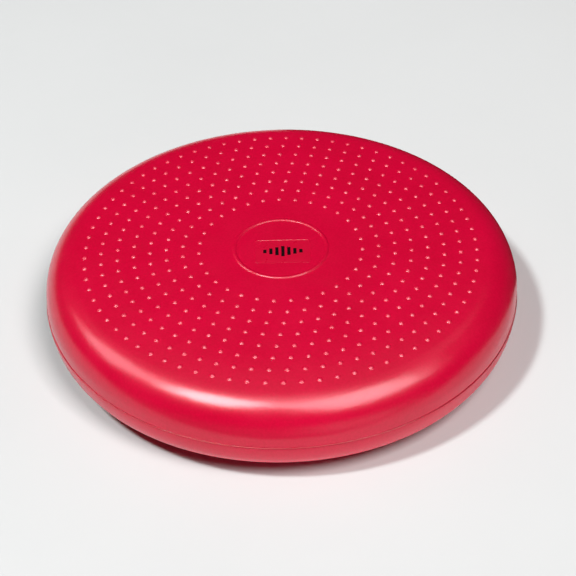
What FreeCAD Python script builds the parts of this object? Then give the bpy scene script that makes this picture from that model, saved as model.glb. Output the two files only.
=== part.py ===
import FreeCAD, Part
import math
import os

import Sketcher
from FreeCAD import Placement, Rotation, Vector

# Inflatable balance pad: a flat air cushion of two welded PVC skins with a needle valve.
# The frame has +Z up, the origin is at the middle of the floor contact, and every size is in
# millimetres. The user's front is at -Y.

# Sizes for the sheet
SIZES = {
    # Overall form
    "pad_height": 72.0,
    "wall_radius": 174.2,
    "skin_thickness": 3.0,
    "seam_height": 36.0,
    # Upper skin
    "dome_radius": 5050.0,
    "shoulder_radius": 26.0,
    "hub_ring_radius": 34.0,
    "hub_ring_width": 3.2,
    "hub_ring_rise": 1.0,
    # Small nubs on top
    "nub_pitch": 12.0,
    "nub_base_radius": 1.8,
    "nub_tip_radius": 0.3,
    "nub_rise": 1.2,
    "nub_root": 1.0,
    "nub_start_angle": 137.0,
    # Lower skin
    "flank_radius": 38.0,
    "chine_radius": 14.6,
    "sole_height": 6.0,
    "sole_flat_radius": 90.0,
    "sole_radius": 322.0,
    # Large nodules underneath
    "nodule_pitch": 24.0,
    "nodule_offset": 12.0,
    "nodule_base_radius": 7.0,
    "nodule_tip_radius": 2.0,
    "nodule_root": 1.5,
    # Welded seam
    "seam_thickness": 1.0,
    "seam_radius": 175.0,
    # Needle valve in the middle of the underside
    "boss_radius": 22.0,
    "boss_edge": 2.0,
    "flange_recess_radius": 7.0,
    "flange_recess_depth": 2.4,
    "plug_radius": 4.5,
    "plug_length": 17.0,
    "flange_radius": 6.8,
    "flange_thickness": 1.9,
    "needle_radius": 1.1,
    "needle_depth": 11.5,
    "slit_width": 0.3,
    "slit_length": 4.0,
    "housing_radius": 8.0,
    "housing_height": 15.0,
    "housing_chamber": 11.0,
    "housing_foot_radius": 13.0,
    "housing_foot_thickness": 2.0,
    "air_hole_radius": 1.5,
    # Printed label
    "label_width": 40.0,
    "label_depth": 27.0,
    "label_corner": 1.5,
    "label_offset_x": 1.5,
    "label_offset_y": -4.0,
    "label_thickness": 0.15,
    "mark_bar_width": 2.4,
    "mark_bar_pitch": 4.4,
    "mark_bar_base": 4.0,
    "mark_bar_step": 2.6,
    "mark_thickness": 0.08,
}

# Rings of studs, by their number of pitches from the middle
NUB_RINGS = range(5, 13)
NODULE_RINGS = range(1, 6)
# Bars printed on each side of the middle one
MARK_REACH = 3

doc = FreeCAD.newDocument("balance_pad")
sheet = doc.addObject("Spreadsheet::Sheet", "Sizes")
for row, (alias, value) in enumerate(SIZES.items(), start=1):
    sheet.set(f"A{row}", alias)
    sheet.set(f"B{row}", str(value))
    sheet.setAlias(f"B{row}", alias)
doc.recompute()


# ---- Helpers -------------------------------------------------------------------------------


def bind(item, prop, formula):
    """Drive one property from the sheet; @name stands for the sheet's cell of that name."""
    item.setExpression(prop, formula.replace("@", "Sizes."))


def value_of(formula):
    """The number that a sheet formula has now, for placing a sketch's first guess."""
    probe = doc.addObject("App::FeaturePython", "Probe")
    probe.addProperty("App::PropertyFloat", "Amount")
    bind(probe, "Amount", formula)
    probe.recompute()
    amount = probe.Amount
    doc.removeObject(probe.Name)
    return amount


def new_body(name):
    body = doc.addObject("PartDesign::Body", name)
    body.Label = name
    return body


def origin_feature(body, role):
    return next(item for item in body.Origin.OriginFeatures if item.Role == role)


def new_sketch(body, name, plane="XZ_Plane"):
    sketch = body.newObject("Sketcher::SketchObject", name)
    sketch.AttachmentSupport = [(origin_feature(body, plane), "")]
    sketch.MapMode = "FlatFace"
    return sketch


def revolve(body, sketch, name):
    """Turn a sketch once round its own vertical axis."""
    turned = body.newObject("PartDesign::Revolution", name)
    turned.Profile = sketch
    turned.ReferenceAxis = (sketch, ["V_Axis"])
    turned.Angle = 360
    turned.Refine = False
    body.Tip = turned
    return turned


def point(radius, height):
    return Vector(radius, height, 0)


def meeting_point(first, first_distance, second, second_distance):
    """The outer and lower of the two points at given distances from two centres."""
    gap = second - first
    along = (first_distance**2 - second_distance**2 + gap.Length**2) / (2 * gap.Length)
    aside = math.sqrt(first_distance**2 - along**2)
    direction = gap / gap.Length
    foot = first + along * direction
    return foot + aside * point(direction.y, -direction.x)


def arc(centre, radius, start, end):
    """Anticlockwise arc in the sketch plane, angles in radians."""
    circle = Part.Circle(centre, Vector(0, 0, 1), radius)
    return Part.ArcOfCircle(circle, start, end)


def hold_distance(sketch, kind, axis, geometry, end, formula):
    """Hold a point's distance from the sketch's origin; "0" puts it on the axis itself."""
    if formula == "0":
        sketch.addConstraint(Sketcher.Constraint("PointOnObject", geometry, end, axis))
        return
    amount = value_of(formula)
    index = sketch.addConstraint(Sketcher.Constraint(kind, -1, 1, geometry, end, amount))
    bind(sketch, f"Constraints[{index}]", formula)


def hold_across(sketch, geometry, end, formula):
    hold_distance(sketch, "DistanceX", -2, geometry, end, formula)


def hold_up(sketch, geometry, end, formula):
    hold_distance(sketch, "DistanceY", -1, geometry, end, formula)


def place_point(sketch, geometry, end, across, up):
    hold_across(sketch, geometry, end, across)
    hold_up(sketch, geometry, end, up)


def hold_radius(sketch, geometry, formula):
    index = sketch.addConstraint(Sketcher.Constraint("Radius", geometry, value_of(formula)))
    bind(sketch, f"Constraints[{index}]", formula)


def join(sketch, first, first_end, second, second_end, kind="Coincident"):
    sketch.addConstraint(Sketcher.Constraint(kind, first, first_end, second, second_end))


def polygon(sketch, corners):
    """Closed outline of straight lines through corners given as sheet formulas."""
    spots = [point(value_of(across), value_of(up)) for across, up in corners]
    for start, end in zip(spots, spots[1:] + spots[:1]):
        sketch.addGeometry(Part.LineSegment(start, end))
    for index, (across, up) in enumerate(corners):
        join(sketch, index, 2, (index + 1) % len(corners), 1)
        place_point(sketch, index, 1, across, up)


def make_stud(name, sizes, points_down=False):
    """One domed stud turned on its own axis, with its foot at the origin."""
    base_radius, tip_radius, rise, root = sizes
    foot, tip, top, depth = (value_of(formula) for formula in sizes)
    crown = ((foot - tip) ** 2 + top**2) / (2 * top)
    low_angle = math.asin((crown - top) / crown)
    body = new_body(name)
    sketch = new_sketch(body, f"{name}_outline")
    turn = 180 if points_down else 0
    sketch.AttachmentOffset = Placement(Vector(), Rotation(Vector(0, 0, 1), turn))
    sketch.addGeometry(Part.LineSegment(point(0, -depth), point(foot, -depth)))
    sketch.addGeometry(Part.LineSegment(point(foot, -depth), point(foot, 0)))
    sketch.addGeometry(arc(point(tip, top - crown), crown, low_angle, math.pi / 2))
    sketch.addGeometry(Part.LineSegment(point(tip, top), point(0, top)))
    sketch.addGeometry(Part.LineSegment(point(0, top), point(0, -depth)))
    join(sketch, 0, 2, 1, 1)
    join(sketch, 1, 2, 2, 1)
    join(sketch, 2, 2, 3, 1, "Tangent")
    join(sketch, 3, 2, 4, 1)
    join(sketch, 4, 2, 0, 1)
    place_point(sketch, 0, 1, "0", f"-({root})")
    place_point(sketch, 1, 1, base_radius, f"-({root})")
    place_point(sketch, 1, 2, base_radius, "0")
    place_point(sketch, 3, 1, tip_radius, rise)
    place_point(sketch, 3, 2, "0", rise)
    revolve(body, sketch, f"{name}_turned")
    return body


def make_ring(name, stud, radius, level, count):
    """Evenly spaced copies of a stud, the first of them at the rings' common start angle."""
    copies = []
    for index in range(count):
        turn = Rotation(Vector(0, 0, 1), 360 * index / count)
        copy = stud.Shape.copy()
        copy.Placement = Placement(turn.multVec(Vector(radius, 0, level)), turn)
        copies.append(copy)
    ring = doc.addObject("Part::Feature", name)
    ring.Shape = Part.makeCompound(copies)
    start = value_of("@nub_start_angle")
    ring.Placement = Placement(Vector(), Rotation(Vector(0, 0, 1), start))
    return ring


def add_studs(name, shell, stud, rings):
    """A moulded skin: its shell and all its rings of studs as one solid."""
    skin = doc.addObject("Part::MultiFuse", name)
    skin.Label = name
    skin.Refine = False
    skin.Shapes = [shell] + [
        make_ring(f"{stud.Label}s_{count}", stud, value_of(radius), value_of(level(radius)), count)
        for radius, level, count in rings
    ]
    return skin


# ---- Skins ---------------------------------------------------------------------------------


def dome_height(radius):
    """Formula for the height of the top surface at a distance from the middle."""
    return f"@pad_height - @dome_radius + sqrt(@dome_radius ^ 2 - ({radius}) ^ 2)"


def sole_level(radius):
    """Formula for the height of the underside at a distance from the middle."""
    run = f"max({radius} - @sole_flat_radius; 0)"
    return f"@sole_height + @sole_radius - sqrt(@sole_radius ^ 2 - ({run}) ^ 2)"


def make_upper_shell():
    """Top face, shoulder and upper wall, with the raised hub ring."""
    body = new_body("upper_shell")
    wall = value_of("@wall_radius")
    thick = value_of("@skin_thickness")
    shoulder = value_of("@shoulder_radius")
    dome = value_of("@dome_radius")
    apex = value_of("@pad_height")
    upper_edge = "@seam_height + @seam_thickness / 2"
    edge = value_of(upper_edge)
    low = point(0, apex - dome)
    rise = math.sqrt((dome - shoulder) ** 2 - (wall - shoulder) ** 2)
    hip = point(wall - shoulder, low.y + rise)
    lean = math.atan2(rise, wall - shoulder)

    ring = value_of("@hub_ring_radius")
    half = value_of("@hub_ring_width / 2")
    proud = value_of("@hub_ring_rise")
    crown = (half**2 + proud**2) / (2 * proud)
    foot = math.asin((crown - proud) / crown)
    crest = point(ring, value_of(dome_height("@hub_ring_radius")) + proud - crown)
    outside = math.acos((ring + half) / dome)
    inside = math.acos((ring - half) / dome)

    sketch = new_sketch(body, "upper_outline")
    sketch.addGeometry(Part.LineSegment(point(wall, edge), point(wall, hip.y)))
    sketch.addGeometry(arc(hip, shoulder, 0, lean))
    sketch.addGeometry(arc(low, dome, lean, outside))
    sketch.addGeometry(arc(crest, crown, foot, math.pi - foot))
    sketch.addGeometry(arc(low, dome, inside, math.pi / 2))
    sketch.addGeometry(Part.LineSegment(point(0, apex), point(0, apex - thick)))
    sketch.addGeometry(arc(low, dome - thick, lean, math.pi / 2))
    sketch.addGeometry(arc(hip, shoulder - thick, 0, lean))
    sketch.addGeometry(Part.LineSegment(point(wall - thick, hip.y), point(wall - thick, edge)))
    sketch.addGeometry(Part.LineSegment(point(wall - thick, edge), point(wall, edge)))
    join(sketch, 0, 2, 1, 1, "Tangent")
    join(sketch, 1, 2, 2, 1, "Tangent")
    join(sketch, 2, 2, 3, 1)
    join(sketch, 3, 2, 4, 1)
    join(sketch, 4, 2, 5, 1)
    join(sketch, 5, 2, 6, 2)
    join(sketch, 6, 1, 7, 2, "Tangent")
    join(sketch, 7, 1, 8, 1, "Tangent")
    join(sketch, 8, 2, 9, 1)
    join(sketch, 9, 2, 0, 1)
    join(sketch, 1, 3, 7, 3)
    join(sketch, 2, 3, 4, 3)
    join(sketch, 2, 3, 6, 3)
    sketch.addConstraint(Sketcher.Constraint("PointOnObject", 2, 3, -2))
    sketch.addConstraint(Sketcher.Constraint("Equal", 2, 4))
    hold_radius(sketch, 1, "@shoulder_radius")
    hold_radius(sketch, 2, "@dome_radius")
    hold_radius(
        sketch, 3, "(@hub_ring_width ^ 2 / 4 + @hub_ring_rise ^ 2) / (2 * @hub_ring_rise)"
    )
    hold_across(sketch, 3, 1, "@hub_ring_radius + @hub_ring_width / 2")
    hold_across(sketch, 3, 2, "@hub_ring_radius - @hub_ring_width / 2")
    place_point(sketch, 5, 1, "0", "@pad_height")
    place_point(sketch, 0, 1, "@wall_radius", upper_edge)
    place_point(sketch, 9, 1, "@wall_radius - @skin_thickness", upper_edge)
    for upright in (0, 5, 8):
        sketch.addConstraint(Sketcher.Constraint("Vertical", upright))
    revolve(body, sketch, "upper_turned")
    return body


def make_lower_shell():
    """Lower wall and sole, with the valve's boss."""
    body = new_body("lower_shell")
    wall = value_of("@wall_radius")
    thick = value_of("@skin_thickness")
    lower_edge = "@seam_height - @seam_thickness / 2"
    edge = value_of(lower_edge)
    flank = value_of("@flank_radius")
    chine = value_of("@chine_radius")
    sole = value_of("@sole_radius")
    level = value_of("@sole_height")
    flat = value_of("@sole_flat_radius")
    flank_centre = point(wall - flank, edge)
    sole_centre = point(flat, level + sole)
    chine_centre = meeting_point(flank_centre, flank - chine, sole_centre, sole - chine)
    turn = math.atan2(flank_centre.y - chine_centre.y, chine_centre.x - flank_centre.x)
    toe = math.atan2(chine_centre.y - sole_centre.y, chine_centre.x - sole_centre.x)

    sketch = new_sketch(body, "lower_outline")
    sketch.addGeometry(arc(flank_centre, flank, -turn, 0))
    sketch.addGeometry(arc(chine_centre, chine, toe, -turn))
    sketch.addGeometry(arc(sole_centre, sole, -math.pi / 2, toe))
    corners = [
        ("@sole_flat_radius", "@sole_height"),
        ("@boss_radius + @boss_edge", "@sole_height"),
        ("@boss_radius", "0"),
        ("@flange_recess_radius", "0"),
        ("@flange_recess_radius", "@flange_recess_depth"),
        ("@plug_radius", "@flange_recess_depth"),
        ("@plug_radius", "@sole_height + @skin_thickness"),
        ("@sole_flat_radius", "@sole_height + @skin_thickness"),
    ]
    spots = [point(value_of(across), value_of(up)) for across, up in corners]
    for start, end in zip(spots, spots[1:]):
        sketch.addGeometry(Part.LineSegment(start, end))
    sketch.addGeometry(arc(sole_centre, sole - thick, -math.pi / 2, toe))
    sketch.addGeometry(arc(chine_centre, chine - thick, toe, -turn))
    sketch.addGeometry(arc(flank_centre, flank - thick, -turn, 0))
    sketch.addGeometry(Part.LineSegment(point(wall - thick, edge), point(wall, edge)))

    join(sketch, 0, 1, 1, 2, "Tangent")
    join(sketch, 1, 1, 2, 2, "Tangent")
    join(sketch, 2, 1, 3, 1)
    for index in range(3, 9):
        join(sketch, index, 2, index + 1, 1)
    join(sketch, 9, 2, 10, 1)
    join(sketch, 10, 2, 11, 1, "Tangent")
    join(sketch, 11, 2, 12, 1, "Tangent")
    join(sketch, 12, 2, 13, 1)
    join(sketch, 13, 2, 0, 2)
    for outer_arc, inner_arc in ((0, 12), (1, 11), (2, 10)):
        join(sketch, outer_arc, 3, inner_arc, 3)
    for index, (across, up) in enumerate(corners[:-1], start=3):
        place_point(sketch, index, 1, across, up)
    place_point(sketch, 10, 1, *corners[-1])
    hold_radius(sketch, 0, "@flank_radius")
    hold_radius(sketch, 1, "@chine_radius")
    hold_radius(sketch, 2, "@sole_radius")
    place_point(sketch, 13, 2, "@wall_radius", lower_edge)
    hold_across(sketch, 2, 3, "@sole_flat_radius")
    hold_up(sketch, 0, 3, lower_edge)
    sketch.addConstraint(Sketcher.Constraint("Horizontal", 13))
    revolve(body, sketch, "lower_turned")
    return body


def make_seam_weld():
    """Welded rim between the skins, with the bead that stands out as the parting line."""
    body = new_body("seam_weld")
    sketch = new_sketch(body, "seam_outline")
    top = "@seam_height + @seam_thickness / 2"
    bottom = "@seam_height - @seam_thickness / 2"
    inside = "@wall_radius - @skin_thickness"
    bead = "@seam_radius - @seam_thickness / 2"
    corners = [(bead, top), (inside, top), (inside, bottom), (bead, bottom)]
    spots = [point(value_of(across), value_of(up)) for across, up in corners]
    for start, end in zip(spots, spots[1:]):
        sketch.addGeometry(Part.LineSegment(start, end))
    middle = point(value_of(bead), value_of("@seam_height"))
    round_radius = value_of("@seam_thickness / 2")
    sketch.addGeometry(arc(middle, round_radius, -math.pi / 2, math.pi / 2))
    for index in range(3):
        join(sketch, index, 2, index + 1, 1)
    join(sketch, 3, 2, 0, 1)
    for index, (across, up) in enumerate(corners):
        place_point(sketch, index, 1, across, up)
    hold_across(sketch, 3, 3, bead)
    revolve(body, sketch, "seam_ring")
    return body


# ---- Needle valve --------------------------------------------------------------------------


def make_valve_housing():
    """Cup welded to the inside of the sole, which holds the rubber plug."""
    body = new_body("valve_housing")
    sketch = new_sketch(body, "housing_outline")
    seat = "@sole_height + @skin_thickness"
    foot = f"{seat} + @housing_foot_thickness"
    chamber = f"{seat} + @housing_chamber"
    top = f"{seat} + @housing_height"
    polygon(
        sketch,
        [
            ("@plug_radius", seat),
            ("@housing_foot_radius", seat),
            ("@housing_foot_radius", foot),
            ("@housing_radius", foot),
            ("@housing_radius", top),
            ("@air_hole_radius", top),
            ("@air_hole_radius", chamber),
            ("@plug_radius", chamber),
        ],
    )
    revolve(body, sketch, "housing_cup")
    return body


def make_valve_core():
    """Flanged rubber plug with a needle hole that ends in a self-sealing slit."""
    body = new_body("valve_core")
    sketch = new_sketch(body, "core_outline")
    face = "@flange_recess_depth - @flange_thickness"
    hole_end = f"{face} + @needle_depth"
    top = "@flange_recess_depth + @plug_length"
    polygon(
        sketch,
        [
            ("@needle_radius", face),
            ("@flange_radius", face),
            ("@flange_radius", "@flange_recess_depth"),
            ("@plug_radius", "@flange_recess_depth"),
            ("@plug_radius", top),
            ("0", top),
            ("0", hole_end),
            ("@needle_radius", hole_end),
        ],
    )
    plug = revolve(body, sketch, "core_plug")
    doc.recompute()
    solid = plug.Shape.Volume

    slit = new_sketch(body, "slit_outline", "XY_Plane")
    bind(slit, "AttachmentOffset.Base.z", top)
    half_width = "@slit_width / 2"
    half_length = "@slit_length / 2"
    polygon(
        slit,
        [
            (half_length, half_width),
            (f"-{half_length}", half_width),
            (f"-{half_length}", f"-{half_width}"),
            (half_length, f"-{half_width}"),
        ],
    )
    cut = body.newObject("PartDesign::Pocket", "seal_slit")
    cut.Profile = slit
    bind(cut, "Length", f"({top}) - ({hole_end})")
    body.Tip = cut
    doc.recompute()
    if cut.Shape.Volume >= solid:
        raise RuntimeError("the seal slit cuts nothing")
    return body


# ---- Printed label -------------------------------------------------------------------------


def add_ball(name, proud):
    """Ball that carries the top face outwards by a height above the skin."""
    ball = doc.addObject("Part::Sphere", name)
    bind(ball, "Radius", f"@dome_radius + {proud}")
    bind(ball, "Placement.Base.z", "@pad_height - @dome_radius")
    return ball


def add_box(name, width, depth, across, along):
    """Upright block centred at (across, along) that stands through the top face."""
    block = doc.addObject("Part::Box", name)
    bind(block, "Length", width)
    bind(block, "Width", depth)
    bind(block, "Height", "@skin_thickness")
    bind(block, "Placement.Base.x", f"{across} - ({width}) / 2")
    bind(block, "Placement.Base.y", f"{along} - ({depth}) / 2")
    bind(block, "Placement.Base.z", "@pad_height - @skin_thickness / 2")
    return block


def add_layer(name, blank, outer_ball, inner_ball):
    """The part of a blank that lies between two balls: a thin film on the domed face."""
    trimmed = doc.addObject("Part::Common", f"{name}_blank")
    trimmed.Base = blank
    trimmed.Tool = outer_ball
    layer = doc.addObject("Part::Cut", name)
    layer.Base = trimmed
    layer.Tool = inner_ball
    layer.Label = name
    return layer


def make_label():
    """Transfer film inside the hub ring, and a plain row of bars printed on it."""
    skin_ball = add_ball("skin_ball", "0")
    film_ball = add_ball("film_ball", "@label_thickness")
    print_ball = add_ball("print_ball", "@label_thickness + @mark_thickness")
    film_block = add_box(
        "film_block", "@label_width", "@label_depth", "@label_offset_x", "@label_offset_y"
    )
    doc.recompute()
    rounded = doc.addObject("Part::Fillet", "film_rounded")
    rounded.Base = film_block
    corner = value_of("@label_corner")
    upright = [
        index
        for index, edge in enumerate(film_block.Shape.Edges, start=1)
        if abs(edge.tangentAt(edge.FirstParameter).z) > 0.99
    ]
    rounded.Edges = [(index, corner, corner) for index in upright]
    film = add_layer("label_film", rounded, film_ball, skin_ball)

    bars = []
    for index in range(-MARK_REACH, MARK_REACH + 1):
        across = f"@label_offset_x + ({index}) * @mark_bar_pitch"
        depth = f"@mark_bar_base + {MARK_REACH - abs(index)} * @mark_bar_step"
        bars.append(add_box("mark_bar", "@mark_bar_width", depth, across, "@label_offset_y"))
    row_of_bars = doc.addObject("Part::Compound", "mark_bars")
    row_of_bars.Links = bars
    mark = add_layer("label_mark", row_of_bars, print_ball, film_ball)
    return film, mark


# ---- Checks and export ---------------------------------------------------------------------


def check(document, pieces):
    for item in document.Objects:
        if "Invalid" in item.State or "Error" in item.State:
            raise RuntimeError(f"{item.Name} is in state {item.State}")
        if item.TypeId == "Sketcher::SketchObject" and not item.FullyConstrained:
            raise RuntimeError(f"{item.Name} isn't fully constrained")
    for piece in pieces:
        if piece.Shape.isNull() or not piece.Shape.isValid():
            raise RuntimeError(f"{piece.Label} has no valid shape")


upper_shell = make_upper_shell()
lower_shell = make_lower_shell()
nub = make_stud("nub", ("@nub_base_radius", "@nub_tip_radius", "@nub_rise", "@nub_root"))
nodule = make_stud(
    "nodule",
    ("@nodule_base_radius", "@nodule_tip_radius", "@sole_height", "@nodule_root"),
    points_down=True,
)
seam = make_seam_weld()
housing = make_valve_housing()
core = make_valve_core()
film, mark = make_label()

nub_rings = [(f"@nub_pitch * {index}", dome_height, 6 * index + 1) for index in NUB_RINGS]
nodule_rings = [
    (f"@nodule_offset + @nodule_pitch * {index}", sole_level, 6 * index + 3)
    for index in NODULE_RINGS
]
upper_skin = add_studs("upper_skin", upper_shell, nub, nub_rings)
lower_skin = add_studs("lower_skin", lower_shell, nodule, nodule_rings)
doc.recompute()

pieces = [upper_skin, lower_skin, seam, housing, core, film, mark]
check(doc, pieces)
os.makedirs("parts", exist_ok=True)
for piece in pieces:
    piece.Shape.exportStep(f"parts/{piece.Label}.step")
    print(piece.Label, len(piece.Shape.Solids), "solids", round(piece.Shape.Volume), "mm3")
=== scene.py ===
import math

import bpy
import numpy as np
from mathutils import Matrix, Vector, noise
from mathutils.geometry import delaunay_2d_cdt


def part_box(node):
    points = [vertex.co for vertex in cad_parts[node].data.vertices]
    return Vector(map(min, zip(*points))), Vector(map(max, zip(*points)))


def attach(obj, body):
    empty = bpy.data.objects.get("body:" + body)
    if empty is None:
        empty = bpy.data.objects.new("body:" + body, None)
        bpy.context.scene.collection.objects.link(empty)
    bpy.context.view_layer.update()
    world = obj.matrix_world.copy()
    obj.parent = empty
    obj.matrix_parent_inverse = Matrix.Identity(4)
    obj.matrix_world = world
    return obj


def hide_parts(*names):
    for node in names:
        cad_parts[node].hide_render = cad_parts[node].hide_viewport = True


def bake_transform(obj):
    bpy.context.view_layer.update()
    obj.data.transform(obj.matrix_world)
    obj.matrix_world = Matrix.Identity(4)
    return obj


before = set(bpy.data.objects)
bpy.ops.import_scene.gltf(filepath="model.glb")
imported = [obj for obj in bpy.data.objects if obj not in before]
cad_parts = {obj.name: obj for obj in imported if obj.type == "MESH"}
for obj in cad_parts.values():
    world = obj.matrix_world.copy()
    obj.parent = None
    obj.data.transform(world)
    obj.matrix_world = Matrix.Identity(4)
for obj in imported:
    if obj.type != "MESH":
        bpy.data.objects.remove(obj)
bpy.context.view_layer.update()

# Looks of an inflatable balance pad: two moulded vinyl skins, the weld between them, a label film
# and a needle valve, standing in a small photo studio.
#
# Everything is in metres in the shared frame: +Z up, the user's front at -Y. The skins are bodies of
# revolution about Z, apart from the nubs on top and the nodules underneath.

MM = 0.001

# ---- Sizes ---------------------------------------------------------------------------------

SEAM_LOW, SEAM_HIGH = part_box("seam_weld")
SEAM_Z = (SEAM_LOW.z + SEAM_HIGH.z) / 2
WALL_RADIUS = 174.2 * MM
SKIN = 3.0 * MM
TOP_Z = 72.0 * MM
# Rounding of each skin's edge beside the weld
LIP = 0.3 * MM

# Upper skin: a shallow dome that eases over before the shoulder
DOME_RADIUS = 5050 * MM
EASE_START = 116 * MM
EASE_RADIUS = 480 * MM
SHOULDER_RADIUS = 26 * MM
HUB_RING_RADIUS = 34 * MM
HUB_RING_WIDTH = 2.8 * MM
HUB_RING_RISE = 0.7 * MM
NUB_PITCH = 12 * MM
NUB_RINGS = range(5, 13)
NUB_RADIUS = 1.7 * MM
NUB_RISE = 0.95 * MM
NUB_FILLET = 0.35 * MM
# The first nub or nodule of each ring stands at this angle
STUD_START = math.radians(137)

# Lower skin: a flank, a tight chine with a small moulded edge, and a sole that stands on nodules
FLANK_RADIUS = 38 * MM
CHINE_RADIUS = 14.6 * MM
EDGE_ANGLE = math.radians(-41)
EDGE_SPREAD = math.radians(2.2)
EDGE_RISE = 0.22 * MM
SOLE_Z = 6 * MM
SOLE_FLAT = 90 * MM
SOLE_RADIUS = 322 * MM
NODULE_PITCH = 24 * MM
NODULE_OFFSET = 12 * MM
NODULE_RINGS = range(1, 6)
NODULE_RADIUS = 7.0 * MM
NODULE_TIP = 2.0 * MM
NODULE_FILLET = 0.8 * MM

# The boss in the middle of the sole, round the valve's plug
BOSS_RADIUS = 22 * MM
BOSS_FOOT = 24 * MM
BOSS_FILLET = 0.3 * MM
RECESS_RADIUS = 7.0 * MM
RECESS_DEPTH = 2.4 * MM
PLUG_RADIUS = 4.5 * MM

# Weld, in mm: points of its section as radius, height above its middle and share of the wander that
# the point takes; then how far the two ridges wander
SEAM_PROFILE = [
    (171.4, -0.5, 0),
    (173.9, -0.5, 0),
    (174.2, -0.46, 0.1),
    (174.5, -0.34, 1),
    (174.5, -0.2, 1),
    (174.28, -0.06, 0.3),
    (174.28, 0.06, 0.3),
    (174.6, 0.2, 1),
    (174.6, 0.36, 1),
    (174.2, 0.46, 0.1),
    (173.9, 0.5, 0),
    (171.4, 0.5, 0),
]
SLOW_WANDER = 0.12
FAST_WANDER = 0.03

# Label film
FILM_THICK = 0.15 * MM
FILM_CORNER = 1.5 * MM
FILM_RAMP = 4 * MM
FILM_LIFT = 0.01 * MM
FILM_TUCK = 0.02 * MM
WELT_RISE = 0.2 * MM
WELT_WIDTH = 0.8 * MM

# Points round the skins, round the valve's hole and round the weld
ROUND = 384
PORT_ROUND = 64
SEAM_ROUND = 1536
# A height that no fillet reaches, for where a raised detail is absent
ABSENT = -20 * MM


# ---- Mesh helpers --------------------------------------------------------------------------


def new_object(name, points, faces):
    """A smooth-shaded mesh object in the scene."""
    mesh = bpy.data.meshes.new(name)
    mesh.from_pydata([tuple(p) for p in points], [], faces)
    mesh.validate()
    mesh.polygons.foreach_set("use_smooth", [True] * len(mesh.polygons))
    mesh.update()
    made = bpy.data.objects.new(name, mesh)
    bpy.context.scene.collection.objects.link(made)
    return made


def circle(radius, count, turn=0.0):
    angles = turn + np.arange(count) * (2 * math.pi / count)
    return np.stack([radius * np.cos(angles), radius * np.sin(angles)], 1)


def arc_points(centre, radius, start, end, count):
    """(radius, z) pairs along an arc of the profile, the first one left out."""
    angles = np.linspace(start, end, count + 1)[1:]
    return [(centre[0] + radius * math.cos(a), centre[1] + radius * math.sin(a)) for a in angles]


def smooth_max(a, b, width):
    """The larger of two heights, with a fillet of about that width where they cross."""
    blend = np.clip(0.5 + (a - b) / (2 * width), 0, 1)
    return b + (a - b) * blend + width * blend * (1 - blend)


def cap_height(gap, half_width, rise):
    """Height of a round cap over its foot, at a distance from its middle; negative outside it."""
    ball = (half_width**2 + rise**2) / (2 * rise)
    height = rise - ball + np.sqrt(np.maximum(ball**2 - gap**2, 0))
    return np.where(gap < ball, height, ABSENT)


def stud_centres(rings, radius_of, count_of):
    return np.concatenate([circle(radius_of(i), count_of(i), STUD_START) for i in rings])


def nearest_distance(points, centres, block=4096):
    """Distance from each point to the nearest centre, in blocks to save memory."""
    nearest = np.empty(len(points))
    for start in range(0, len(points), block):
        across, along = (points[start : start + block, k, None] - centres[None, :, k] for k in (0, 1))
        nearest[start : start + block] = np.hypot(across, along).min(1)
    return nearest


def stud_points(centres, radii, around):
    """The centre of each stud and circles of points round it."""
    found = [centres]
    for index, radius in enumerate(radii):
        ring = circle(radius, around, index * math.pi / around)
        found.append((centres[:, None, :] + ring[None]).reshape(-1, 2))
    return np.concatenate(found)


def background(centres, first, last, step, clear, twist=0.7):
    """Rings of points a step apart, each turned against the last, clear of the studs."""
    found = []
    for index in range(int(round((last - first) / step)) + 1):
        radius = first + index * step
        around = max(6, int(2 * math.pi * radius / step))
        found.append(circle(radius, around, index * twist))
    found = np.concatenate(found)
    return found[nearest_distance(found, centres) > clear]


class Skin:
    """Grows one closed skin: a studded field, then rings of points out over the wall and back."""

    def __init__(self):
        self.points = []
        self.faces = []
        self.size = 0

    def add_points(self, points):
        first = self.size
        self.points.append(np.asarray(points, float))
        self.size += len(points)
        return first

    def add_field(self, flat, height, edge_count, mouth_count=0):
        """Triangulated height field. Its first points are its outer edge, the next ones a hole."""
        spots = [Vector(p) for p in flat]
        made = delaunay_2d_cdt(spots, [], [], 0, 1e-9)
        placed = np.array([tuple(p) for p in made[0]])
        order = np.array([found[0] for found in made[3]])
        first = self.add_points(np.column_stack([placed, height(placed)]))
        lookup = np.zeros(len(flat), int)
        lookup[order] = np.arange(len(placed)) + first
        edge = lookup[:edge_count]
        mouth = lookup[edge_count : edge_count + mouth_count]
        hole = set(mouth.tolist())
        for face in made[2]:
            corners = [first + corner for corner in face]
            if not hole.issuperset(corners):
                self.faces.append(corners)
        return edge, mouth

    def add_ring(self, radius, z, count=ROUND):
        first = self.add_points(np.column_stack([circle(radius, count), np.full(count, z)]))
        return np.arange(first, first + count)

    def bridge(self, ring_a, ring_b, flip=False):
        count = len(ring_a)
        for k in range(count):
            n = (k + 1) % count
            face = [int(corner) for corner in (ring_a[k], ring_a[n], ring_b[n], ring_b[k])]
            self.faces.append(face[::-1] if flip else face)

    def sweep(self, ring, profile, flip=False):
        """Rings of points along a profile, each bridged to the one before."""
        for radius, z in profile:
            after = self.add_ring(radius, z, len(ring))
            self.bridge(ring, after, flip)
            ring = after
        return ring

    def close(self, ring, z, flip=False):
        middle = self.add_points([[0, 0, z]])
        count = len(ring)
        for k in range(count):
            face = [int(ring[k]), int(ring[(k + 1) % count]), middle]
            self.faces.append(face[::-1] if flip else face)

    def make(self, name):
        return new_object(name, np.concatenate(self.points), self.faces)


# ---- Upper skin ----------------------------------------------------------------------------


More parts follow.
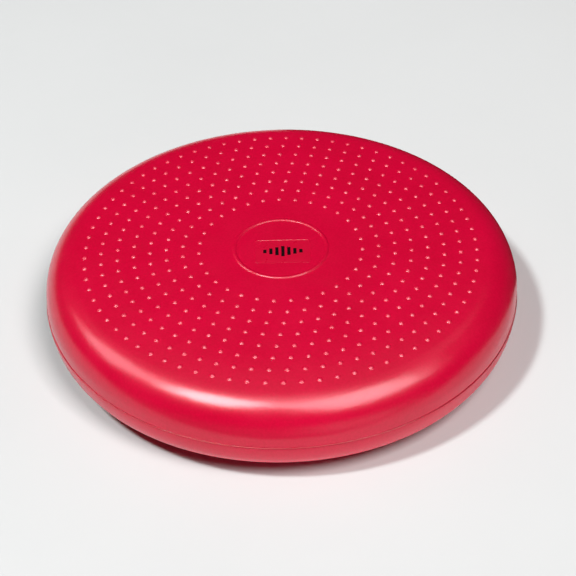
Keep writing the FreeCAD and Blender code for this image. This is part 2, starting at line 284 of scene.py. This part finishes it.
def dome_z(radius):
    """Height of the crown: nearly flat, and easing over before the shoulder."""
    radius = np.asarray(radius)
    eased = np.maximum(radius - EASE_START, 0) ** 2 / (2 * EASE_RADIUS)
    return TOP_Z - DOME_RADIUS + np.sqrt(DOME_RADIUS**2 - radius**2) - eased


NUB_CENTRES = stud_centres(NUB_RINGS, lambda i: NUB_PITCH * i, lambda i: 6 * i + 1)


def top_height(flat):
    radius = np.hypot(flat[:, 0], flat[:, 1])
    nub = cap_height(nearest_distance(flat, NUB_CENTRES), NUB_RADIUS, NUB_RISE)
    ring = cap_height(np.abs(radius - HUB_RING_RADIUS), HUB_RING_WIDTH / 2, HUB_RING_RISE)
    raised = np.maximum(nub, ring)
    return dome_z(radius) + smooth_max(raised, np.zeros_like(raised), NUB_FILLET)


def mark_crests(target, gain=1.6):
    """Records how far up a nub each point stands, for the nubs' matt tips and the paler pink painted
    on them as a highlight.
    """
    mesh = target.data
    place = np.empty(3 * len(mesh.vertices))
    mesh.vertices.foreach_get("co", place)
    x, y, z = place.reshape(-1, 3).T
    radius = np.hypot(x, y)
    proud = (z - dome_z(radius)) / NUB_RISE
    beyond_hub = radius > HUB_RING_RADIUS + NUB_PITCH
    crest = np.where(beyond_hub, np.clip(gain * proud, 0, 1), 0)
    layer = mesh.attributes.new("crest", "FLOAT", "POINT")
    layer.data.foreach_set("value", crest.astype(np.float32))


def top_points(edge_radius):
    """Points of the studded top: its edge, the nubs, the field between them and the hub."""
    nub_radii = np.array([0.35, 0.7, 1.0, 1.25, 1.45, 1.62, 1.8, 2.05, 2.4, 2.9]) * MM
    bead_steps = np.linspace(-2.2, 2.2, 17) * MM
    bead = [circle(HUB_RING_RADIUS + off, 200, k * 0.01) for k, off in enumerate(bead_steps)]
    return np.concatenate(
        [
            circle(edge_radius, ROUND),
            stud_points(NUB_CENTRES, nub_radii, around=14),
            background(NUB_CENTRES, first=38.5 * MM, last=147 * MM, step=2.6 * MM, clear=3.5 * MM),
            *bead,
            background(NUB_CENTRES, first=2.5 * MM, last=30 * MM, step=2.5 * MM, clear=0),
        ]
    )


def make_upper_skin():
    # The shoulder's arc takes over where the dome has the arc's own slope, which a few rounds settle
    arc_r = WALL_RADIUS - SHOULDER_RADIUS
    slope = 0.0
    for _ in range(20):
        join_r = arc_r + SHOULDER_RADIUS * math.sin(slope)
        slope = math.atan(join_r / DOME_RADIUS + (join_r - EASE_START) / EASE_RADIUS)
    arc_z = float(dome_z(join_r)) - SHOULDER_RADIUS * math.cos(slope)
    arc = (arc_r, arc_z)
    lean = math.pi / 2 - slope
    foot_z = SEAM_HIGH.z

    outline = arc_points(arc, SHOULDER_RADIUS, lean, 0, 40)
    outline += [(WALL_RADIUS, arc_z - drop * MM) for drop in (2.4, 4.8)]
    outline += [(WALL_RADIUS, foot_z + LIP)]
    outline += arc_points((WALL_RADIUS - LIP, foot_z + LIP), LIP, 0, -math.pi / 2, 4)
    inside = [(WALL_RADIUS - SKIN, foot_z), (WALL_RADIUS - SKIN, arc_z)]
    inside += arc_points(arc, SHOULDER_RADIUS - SKIN, 0, lean, 10)
    inside += [(join_r * part, float(dome_z(join_r * part)) - SKIN) for part in (0.8, 0.6, 0.4, 0.2)]

    skin = Skin()
    rim, _ = skin.add_field(top_points(join_r), top_height, ROUND)
    last = skin.sweep(rim, outline + inside, flip=True)
    skin.close(last, TOP_Z - SKIN, flip=True)
    cover = skin.make("upper_cover")
    mark_crests(cover)
    return cover


# ---- Lower skin ----------------------------------------------------------------------------


def sole_z(radius):
    """Height of the sole: flat, then curving up towards the chine."""
    run = np.maximum(np.asarray(radius) - SOLE_FLAT, 0)
    return SOLE_Z + SOLE_RADIUS - np.sqrt(SOLE_RADIUS**2 - run**2)


NODULE_CENTRES = stud_centres(
    NODULE_RINGS, lambda i: NODULE_OFFSET + NODULE_PITCH * i, lambda i: 6 * i + 3
)


def underside_height(flat):
    radius = np.hypot(flat[:, 0], flat[:, 1])
    off_tip = np.maximum(nearest_distance(flat, NODULE_CENTRES) - NODULE_TIP, 0)
    knob = cap_height(off_tip, NODULE_RADIUS - NODULE_TIP, SOLE_Z)
    boss = SOLE_Z * np.clip((BOSS_FOOT - radius) / (BOSS_FOOT - BOSS_RADIUS), -1, 1)
    raised = smooth_max(knob, boss, BOSS_FILLET)
    proud = smooth_max(raised, np.zeros_like(raised), NODULE_FILLET)
    return np.maximum(sole_z(radius) - proud, 0)


def underside_points(edge_radius):
    """Points of the underside: its edge, the valve's mouth, the nodules, the sole and the boss."""
    knob_radii = np.array([1.0, 2.0, 2.9, 3.8, 4.6, 5.3, 5.9, 6.4, 6.8, 7.2, 7.7, 8.5]) * MM
    boss_radii = np.array([8.5, 12, 16, 20, 21.2, 21.8, 22.3, 22.9, 23.5, 24.2, 25, 26]) * MM
    boss = [circle(radius, 120, k * 0.013) for k, radius in enumerate(boss_radii)]
    return np.concatenate(
        [
            circle(edge_radius, ROUND),
            circle(RECESS_RADIUS, PORT_ROUND),
            stud_points(NODULE_CENTRES, knob_radii, around=24),
            background(
                NODULE_CENTRES,
                first=28 * MM,
                last=edge_radius - 2 * MM,
                step=3 * MM,
                clear=9.3 * MM,
            ),
            *boss,
        ]
    )


def touching_centre(flank, sole):
    """Centre of the chine's arc, which touches the flank's arc and the sole's from inside."""
    gap = math.dist(flank, sole)
    to_flank = FLANK_RADIUS - CHINE_RADIUS
    to_sole = SOLE_RADIUS - CHINE_RADIUS
    along = (to_flank**2 - to_sole**2 + gap**2) / (2 * gap)
    aside = math.sqrt(to_flank**2 - along**2)
    r, z = ((sole[k] - flank[k]) / gap for k in (0, 1))
    return flank[0] + along * r + aside * z, flank[1] + along * z - aside * r


def chine_points(centre, start, end):
    """The chine's arc, with a fine moulded edge that stands proud of it."""
    fine = EDGE_ANGLE + np.radians(range(-5, 6))
    found = []
    for angle in sorted({*np.linspace(start, end, 23)[1:], *fine}):
        edge = EDGE_RISE * math.exp(-(((angle - EDGE_ANGLE) / EDGE_SPREAD) ** 2))
        radius = CHINE_RADIUS + edge
        found.append((centre[0] + radius * math.cos(angle), centre[1] + radius * math.sin(angle)))
    return found


def make_lower_skin():
    edge_z = SEAM_LOW.z
    flank = (WALL_RADIUS - FLANK_RADIUS, edge_z)
    sole = (SOLE_FLAT, SOLE_Z + SOLE_RADIUS)
    chine = touching_centre(flank, sole)
    turn = math.atan2(chine[1] - flank[1], chine[0] - flank[0])
    toe = math.atan2(chine[1] - sole[1], chine[0] - sole[0])
    join_r = sole[0] + SOLE_RADIUS * math.cos(toe)

    outline = chine_points(chine, toe, turn)
    outline += arc_points(flank, FLANK_RADIUS, turn, 0, 10)[:-1]
    outline += [(WALL_RADIUS, edge_z - LIP)]
    outline += arc_points((WALL_RADIUS - LIP, edge_z - LIP), LIP, 0, math.pi / 2, 4)
    inside = [(WALL_RADIUS - SKIN, edge_z)]
    inside += arc_points(flank, FLANK_RADIUS - SKIN, 0, turn, 5)
    inside += arc_points(chine, CHINE_RADIUS - SKIN, turn, toe, 6)
    inside += arc_points(sole, SOLE_RADIUS - SKIN, toe, -math.pi / 2, 4)
    inside += [(SOLE_FLAT / 2, SOLE_Z + SKIN), (PLUG_RADIUS * 2, SOLE_Z + SKIN)]

    skin = Skin()
    rim, mouth = skin.add_field(underside_points(join_r), underside_height, ROUND, PORT_ROUND)
    skin.faces = [face[::-1] for face in skin.faces]
    last = skin.sweep(rim, outline + inside)
    bore = skin.add_ring(PLUG_RADIUS, SOLE_Z + SKIN, PORT_ROUND)
    step = ROUND // PORT_ROUND
    for k in range(PORT_ROUND):
        n = (k + 1) % PORT_ROUND
        fan = [int(last[(k * step + m) % ROUND]) for m in range(step + 1)]
        skin.faces.append([*fan, int(bore[n]), int(bore[k])])
    floor = skin.sweep(bore, [(PLUG_RADIUS, RECESS_DEPTH), (RECESS_RADIUS, RECESS_DEPTH)])
    skin.bridge(floor, mouth)
    return skin.make("lower_cover")


# ---- Seam and label ------------------------------------------------------------------------


def loop_noise(angle, pace, seed):
    """Smooth noise round a closed loop, from -1 to 1. A higher pace changes faster."""
    return noise.noise(Vector((pace * math.cos(angle), pace * math.sin(angle), seed)))


def make_seam_line():
    """The weld bead: two fine ridges whose height and gap wander a little along the seam."""
    points = []
    for k in range(SEAM_ROUND):
        angle = k * 2 * math.pi / SEAM_ROUND
        slow = SLOW_WANDER * loop_noise(angle, 3, 5)
        fast = FAST_WANDER * loop_noise(angle, 40, 9)
        for radius, z, loose in SEAM_PROFILE:
            # The two ridges drift against each other
            wander = fast + (slow if z > 0 else -slow)
            reach = (radius + loose * wander) * MM
            points.append((reach * math.cos(angle), reach * math.sin(angle), SEAM_Z + z * MM))
    size = len(SEAM_PROFILE)
    faces = []
    for k in range(SEAM_ROUND):
        n = (k + 1) % SEAM_ROUND
        for m in range(size):
            p = (m + 1) % size
            faces.append([k * size + m, n * size + m, n * size + p, k * size + p])
    return new_object("seam_line", points, faces)


def rounded_outline(half, corner, step=0.8 * MM):
    """Points round a rectangle with round corners, about a step apart on its straight sides."""
    outline = []
    for index, (sx, sy) in enumerate(((1, 1), (-1, 1), (-1, -1), (1, -1))):
        for k in range(9):
            turn = math.pi / 2 * (index + k / 8)
            x = sx * (half[0] - corner) + corner * math.cos(turn)
            y = sy * (half[1] - corner) + corner * math.sin(turn)
            outline.append((x, y))
    dense = []
    for k, start in enumerate(outline):
        stop = outline[(k + 1) % len(outline)]
        count = max(1, round(math.dist(start, stop) / step))
        for m in range(count):
            share = m / count
            dense.append(tuple(a + (b - a) * share for a, b in zip(start, stop)))
    return dense


def make_label_sheet():
    """Thin film on the crown. Its far edge has lifted a hair, as a glued film's edge does."""
    low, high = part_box("label_film")
    middle = ((low.x + high.x) / 2, (low.y + high.y) / 2)
    half = ((high.x - low.x) / 2, (high.y - low.y) / 2)
    border = rounded_outline(half, FILM_CORNER)
    count = len(border)
    insets = [*np.arange(0, 0.85, 0.1), 1, 1.5, 2, 3, 4, 7, 10.5, 13.2]
    points, faces = [], []
    for inset in np.array(insets) * MM:
        edge = min(1.0, inset / FILM_RAMP)
        rise = FILM_THICK * (edge * edge * (3 - 2 * edge))
        welt = WELT_RISE * math.sin(math.pi * min(1.0, inset / WELT_WIDTH)) ** 2
        for x, y in border:
            px = x * (half[0] - inset) / half[0] + middle[0]
            py = y * (half[1] - inset) / half[1] + middle[1]
            # 1 along the far edge, and nearly 0 a quarter of the way in
            far = max(0.0, y / half[1]) ** 12
            lifted = max(rise, FILM_THICK * far) + welt * far + FILM_LIFT
            points.append((px, py, float(dome_z(math.hypot(px, py))) + lifted))
    for ring in range(len(insets) - 1):
        for k in range(count):
            n = (k + 1) % count
            a, b = ring * count, (ring + 1) * count
            faces.append([a + k, a + n, b + n, b + k])
    faces.append([(len(insets) - 1) * count + k for k in range(count)])

    # The back and the rim go a hair into the skin and are shaded flat, so that no edge shows
    upper_faces = len(faces)
    base = len(points)
    for x, y in border:
        px, py = x + middle[0], y + middle[1]
        points.append((px, py, float(dome_z(math.hypot(px, py))) - FILM_TUCK))
    for k in range(count):
        n = (k + 1) % count
        faces.append([base + k, base + n, n, k])
    faces.append([base + k for k in reversed(range(count))])
    made = new_object("label_sheet", points, faces)
    for face in made.data.polygons[upper_faces:]:
        face.use_smooth = False
    return made


# ---- Materials -----------------------------------------------------------------------------

# Colours are linear RGB; each material varies between a darker and a lighter one
SKIN_RED = ((0.61, 0.0, 0.03), (0.72, 0.0, 0.042))
SEAM_RED = ((0.6, 0.0, 0.03), (0.66, 0.001, 0.036))
FILM_RED = ((0.62, 0.0, 0.031), (0.67, 0.0, 0.037))
# Paler pink for the nubs' crests: a painted highlight, not a colour the vinyl has
NUB_HIGHLIGHT_PINK = (0.78, 0.02, 0.08)
INK_BLACK = ((0.003, 0.001, 0.001), (0.008, 0.003, 0.004))
RUBBER_BLACK = ((0.012, 0.012, 0.013), (0.035, 0.033, 0.033))
CARD_GREY = ((0.375, 0.377, 0.375), (0.39, 0.392, 0.39))


class Finish:
    """A small helper that wires up one procedural material."""

    def __init__(self, name):
        self.material = bpy.data.materials.new(name)
        self.material.use_nodes = True
        self.tree = self.material.node_tree
        self.shader = self.tree.nodes["Principled BSDF"]
        self.place = self.add("ShaderNodeTexCoord").outputs["Object"]

    def add(self, kind, **values):
        made = self.tree.nodes.new(kind)
        for key, value in values.items():
            setattr(made, key, value)
        return made

    def link(self, source, target):
        self.tree.links.new(source, target)

    def noise(self, scale, detail=2.0, rough=0.5):
        """Noise of about that many blotches to a metre."""
        made = self.add("ShaderNodeTexNoise")
        made.inputs["Scale"].default_value = scale
        made.inputs["Detail"].default_value = detail
        made.inputs["Roughness"].default_value = rough
        self.link(self.place, made.inputs["Vector"])
        return made.outputs["Fac"]

    def spread(self, source, low, high, start=0.3, stop=0.7):
        """Maps start to stop, where most of a noise lies, onto low to high."""
        made = self.add("ShaderNodeMapRange")
        made.inputs["From Min"].default_value = start
        made.inputs["From Max"].default_value = stop
        made.inputs["To Min"].default_value = low
        made.inputs["To Max"].default_value = high
        self.link(source, made.inputs["Value"])
        return made.outputs["Result"]

    def mix(self, share, first, second):
        """Blends two colours, each a tuple or a socket."""
        made = self.add("ShaderNodeMix", data_type="RGBA")
        self.link(share, made.inputs["Factor"])
        for value, index in ((first, 6), (second, 7)):
            if isinstance(value, tuple):
                made.inputs[index].default_value = (*value, 1)
            else:
                self.link(value, made.inputs[index])
        return made.outputs[2]

    def bump(self, source, depth, before=None):
        made = self.add("ShaderNodeBump")
        made.inputs["Strength"].default_value = 1.0
        made.inputs["Distance"].default_value = depth
        self.link(source, made.inputs["Height"])
        if before is not None:
            self.link(before, made.inputs["Normal"])
        return made.outputs["Normal"]

    def crests(self, high):
        """How far up a nub a point stands, from 0 to high."""
        made = self.add("ShaderNodeAttribute", attribute_name="crest")
        return self.spread(made.outputs["Fac"], 0, high, 0, 1)

    def plus(self, first, second):
        made = self.add("ShaderNodeMath", operation="ADD")
        self.link(first, made.inputs[0])
        self.link(second, made.inputs[1])
        return made.outputs["Value"]

    def set(self, socket, value):
        target = self.shader.inputs[socket]
        if isinstance(value, bpy.types.NodeSocket):
            self.link(value, target)
        else:
            target.default_value = value


def make_vinyl(name, colours, roughness, grain):
    """Soft moulded vinyl: faint clouding, fine specks and a satin grain; the nubs' tips are rougher
    and painted paler pink as a highlight.
    """
    look = Finish(name)
    clouds = look.spread(look.noise(22, 3), 0, 0.5)
    specks = look.spread(look.noise(560, 1), 0, 0.5)
    body = look.mix(look.plus(clouds, specks), *colours)
    # Painted highlight: each nub's crest is blended towards a paler pink
    look.set("Base Color", look.mix(look.crests(0.5), body, NUB_HIGHLIGHT_PINK))
    sheen = look.spread(look.noise(60, 4), roughness - 0.02, roughness + 0.02)
    look.set("Roughness", look.plus(sheen, look.crests(0.2)))
    look.set("IOR", 1.5)
    broad = look.bump(look.noise(70, 2), 0.1 * MM)
    look.set("Normal", look.bump(look.noise(750, 2, 0.6), grain, before=broad))
    return look.material


def make_film():
    """The label's film: the same red, without the moulded grain."""
    look = Finish("label_film_gloss")
    look.set("Base Color", look.mix(look.spread(look.noise(60, 2), 0, 1), *FILM_RED))
    look.set("Roughness", look.spread(look.noise(80, 3), 0.26, 0.3))
    look.set("Normal", look.bump(look.noise(150, 2), 0.04 * MM))
    return look.material


def make_ink():
    """Printed black with a slightly uneven surface and next to no gloss."""
    look = Finish("label_ink_black")
    look.set("Base Color", look.mix(look.spread(look.noise(900, 3), 0, 1), *INK_BLACK))
    look.set("Roughness", look.spread(look.noise(500, 2), 0.45, 0.6))
    look.set("Specular IOR Level", 0.04)
    look.set("Normal", look.bump(look.noise(1500, 2), 0.01 * MM))
    return look.material


def make_rubber():
    """The needle valve's rubber, with dust in its fine pores."""
    look = Finish("valve_rubber_black")
    look.set("Base Color", look.mix(look.spread(look.noise(500, 4), 0, 1), *RUBBER_BLACK))
    look.set("Roughness", look.spread(look.noise(240, 3), 0.5, 0.7))
    look.set("Normal", look.bump(look.noise(1800, 3), 0.03 * MM))
    return look.material


def make_card():
    """The floor's matt card, clear from below so that the pad's underside can be looked at.

    It is greyer than it looks, and lit the more for it, so that less of the pad's red shows on it.
    """
    look = Finish("studio_card")
    look.set("Base Color", look.mix(look.spread(look.noise(3, 3), 0, 1), *CARD_GREY))
    look.set("Roughness", look.spread(look.noise(40, 3), 0.75, 0.9))
    look.set("Specular IOR Level", 0.2)
    clear = look.add("ShaderNodeBsdfTransparent")
    pick = look.add("ShaderNodeMixShader")
    look.link(look.add("ShaderNodeNewGeometry").outputs["Backfacing"], pick.inputs[0])
    look.link(look.shader.outputs[0], pick.inputs[1])
    look.link(clear.outputs[0], pick.inputs[2])
    look.link(pick.outputs[0], look.tree.nodes["Material Output"].inputs["Surface"])
    return look.material


def paint(target, material):
    target.data.materials.clear()
    target.data.materials.append(material)


# ---- Build ---------------------------------------------------------------------------------

red = make_vinyl("vinyl_red", SKIN_RED, 0.25, 0.05 * MM)

upper = make_upper_skin()
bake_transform(upper)
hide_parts("upper_skin")
paint(upper, red)

lower = make_lower_skin()
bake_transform(lower)
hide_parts("lower_skin")
paint(lower, red)

seam = make_seam_line()
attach(seam, "rim")
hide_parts("seam_weld")
paint(seam, make_vinyl("vinyl_seam", SEAM_RED, 0.3, 0.02 * MM))

sheet = make_label_sheet()
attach(sheet, "top")
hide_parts("label_film")
paint(sheet, make_film())

paint(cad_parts["label_mark"], make_ink())
paint(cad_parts["valve_core"], make_rubber())
paint(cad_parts["valve_housing"], red)

# ---- Floor ---------------------------------------------------------------------------------

FLOOR_Z = -0.2 * MM
FLOOR_REACH = 9
PAPER_EDGE = -0.24
FLAG_EDGE = 0.05


def make_floor(name, low, high, material, step=0.5):
    """A rectangle of the floor, in squares of about half a metre."""
    columns, rows = (max(1, round((high[k] - low[k]) / step)) for k in (0, 1))
    points, faces = [], []
    for row in range(rows + 1):
        y = low[1] + (high[1] - low[1]) * row / rows
        for column in range(columns + 1):
            x = low[0] + (high[0] - low[0]) * column / columns
            points.append((x, y, FLOOR_Z))
    for row in range(rows):
        for column in range(columns):
            first = row * (columns + 1) + column
            faces.append([first, first + 1, first + columns + 2, first + columns + 1])
    made = new_object(name, points, faces)
    paint(made, material)
    return made


card = make_card()
near = make_floor("studio_floor_near", (-FLOOR_REACH, PAPER_EDGE), (FLOOR_REACH, FLAG_EDGE), card)
left = make_floor("studio_floor_left", (-FLOOR_REACH, FLAG_EDGE), (0, FLOOR_REACH), card)
right = make_floor("studio_floor_right", (0, FLAG_EDGE), (FLOOR_REACH, FLOOR_REACH), card)
front = make_floor("studio_floor_front", (-FLOOR_REACH, -FLOOR_REACH), (FLOOR_REACH, PAPER_EDGE), card)
floors = (near, left, right, front)
# The pad's gloss sees only darkness in front of the paper and beyond the flag at the right
right.visible_glossy = False
front.visible_glossy = False

# ---- Light ---------------------------------------------------------------------------------

scene = bpy.context.scene
scene.view_settings.view_transform = "Standard"

# A trace of light from all round
world = bpy.data.worlds.new("studio")
scene.world = world
world.use_nodes = True
world.node_tree.nodes["Background"].inputs["Color"].default_value = (1, 0.99, 0.985, 1)
world.node_tree.nodes["Background"].inputs["Strength"].default_value = 0.015


def pick_pieces(name, pieces, state):
    """The set of only these pieces (INCLUDE), or of all but these (EXCLUDE), for a lamp."""
    group = bpy.data.collections.new(name)
    for piece in pieces:
        group.objects.link(piece)
    for member in group.collection_objects:
        member.light_linking.link_state = state
    return group


def add_softbox(
    name,
    azimuth,
    elevation,
    distance,
    size,
    power,
    tint=(1, 1, 1),
    shine=False,
    receivers=None,
    blockers=None,
):
    """An area light aimed at the pad: matt light only, or shine only, which reflections see.

    Azimuth is anticlockwise from +X, and elevation is above the floor, in degrees. Only the
    receivers are lit and only the blockers cast shadows, where those are given.
    """
    turn, lean = math.radians(azimuth), math.radians(elevation)
    aim = Vector((math.cos(lean) * math.cos(turn), math.cos(lean) * math.sin(turn), math.sin(lean)))
    data = bpy.data.lights.new(name, "AREA")
    data.shape = "RECTANGLE"
    data.size, data.size_y = size
    data.energy = power
    data.color = tint
    lamp = bpy.data.objects.new(name, data)
    spin = aim.to_track_quat("Z", "Y").to_matrix().to_4x4()
    lamp.matrix_world = Matrix.Translation(aim * distance) @ spin
    lamp.visible_camera = False
    lamp.visible_diffuse = not shine
    lamp.visible_glossy = shine
    lamp.light_linking.receiver_collection = receivers
    lamp.light_linking.blocker_collection = blockers
    scene.collection.objects.link(lamp)


floor_only = pick_pieces("floor_only", floors, "INCLUDE")
all_but_floor = pick_pieces("all_but_floor", floors, "EXCLUDE")

# Each line gives the azimuth, elevation, distance, size and power.
# The key casts the shadow, and the pinker fill lights the floor inside it
add_softbox("key", 217, 60, 6, (0.6, 0.6), 185, receivers=all_but_floor)
add_softbox("floor_key", 217, 60, 6, (0.6, 0.6), 437, tint=(0.9, 1, 1), receivers=floor_only)
add_softbox("floor_fill", 300, 57, 8, (3, 3), 925, tint=(1, 0.92, 0.925), receivers=floor_only)
add_softbox("overhead", 270, 84, 2.5, (1.3, 1.3), 36, receivers=all_but_floor)
# Light that the floor throws back at the wall and at the underside
from_below = {"receivers": all_but_floor, "blockers": all_but_floor}
add_softbox("bounce", 302, -8, 3, (2.4, 1.2), 33, **from_below)
add_softbox("under", 270, -80, 3, (2.5, 2.5), 7, **from_below)
# What the gloss shows: the two lamps, a bright wall at the left and the ceiling
add_softbox("key_shine", 217, 65, 3.5, (1.5, 1.5), 175, shine=True)
add_softbox("fill_shine", 319, 60, 5, (3.4, 3.2), 300, shine=True)
add_softbox("side_shine", 165, 46, 5, (2.2, 2.2), 90, shine=True)
add_softbox("ceiling_shine", 90, 74, 5, (6, 4.2), 36, shine=True)

# ---- Camera --------------------------------------------------------------------------------

# The photograph's view: a long lens that looks down by 39 degrees and is rolled by a degree. The
# middle of the pad's top lies left of and above the picture's middle, by these parts of its distance.
LEAN = math.radians(39.39)
ROLL = math.radians(1.2)
TOP_DISTANCE = 1.468
TOP_LEFT = 0.003605
TOP_UP = 0.020035

ahead = Vector((0, math.cos(LEAN), -math.sin(LEAN)))
across = Vector((1, 0, 0))
down = Vector((0, -math.sin(LEAN), -math.cos(LEAN)))
picture_right = across * math.cos(ROLL) + down * math.sin(ROLL)
picture_down = down * math.cos(ROLL) - across * math.sin(ROLL)
sight = (ahead - TOP_LEFT * picture_right - TOP_UP * picture_down).normalized()
lens = bpy.data.cameras.new("photo_view")
lens.lens = 125
lens.sensor_width = 36
camera = bpy.data.objects.new("photo_view", lens)
facing = Matrix((picture_right, -picture_down, -ahead)).transposed()
spot = Vector((0, 0, TOP_Z)) - sight * TOP_DISTANCE
camera.matrix_world = Matrix.Translation(spot) @ facing.to_4x4()
scene.collection.objects.link(camera)
scene.camera = camera
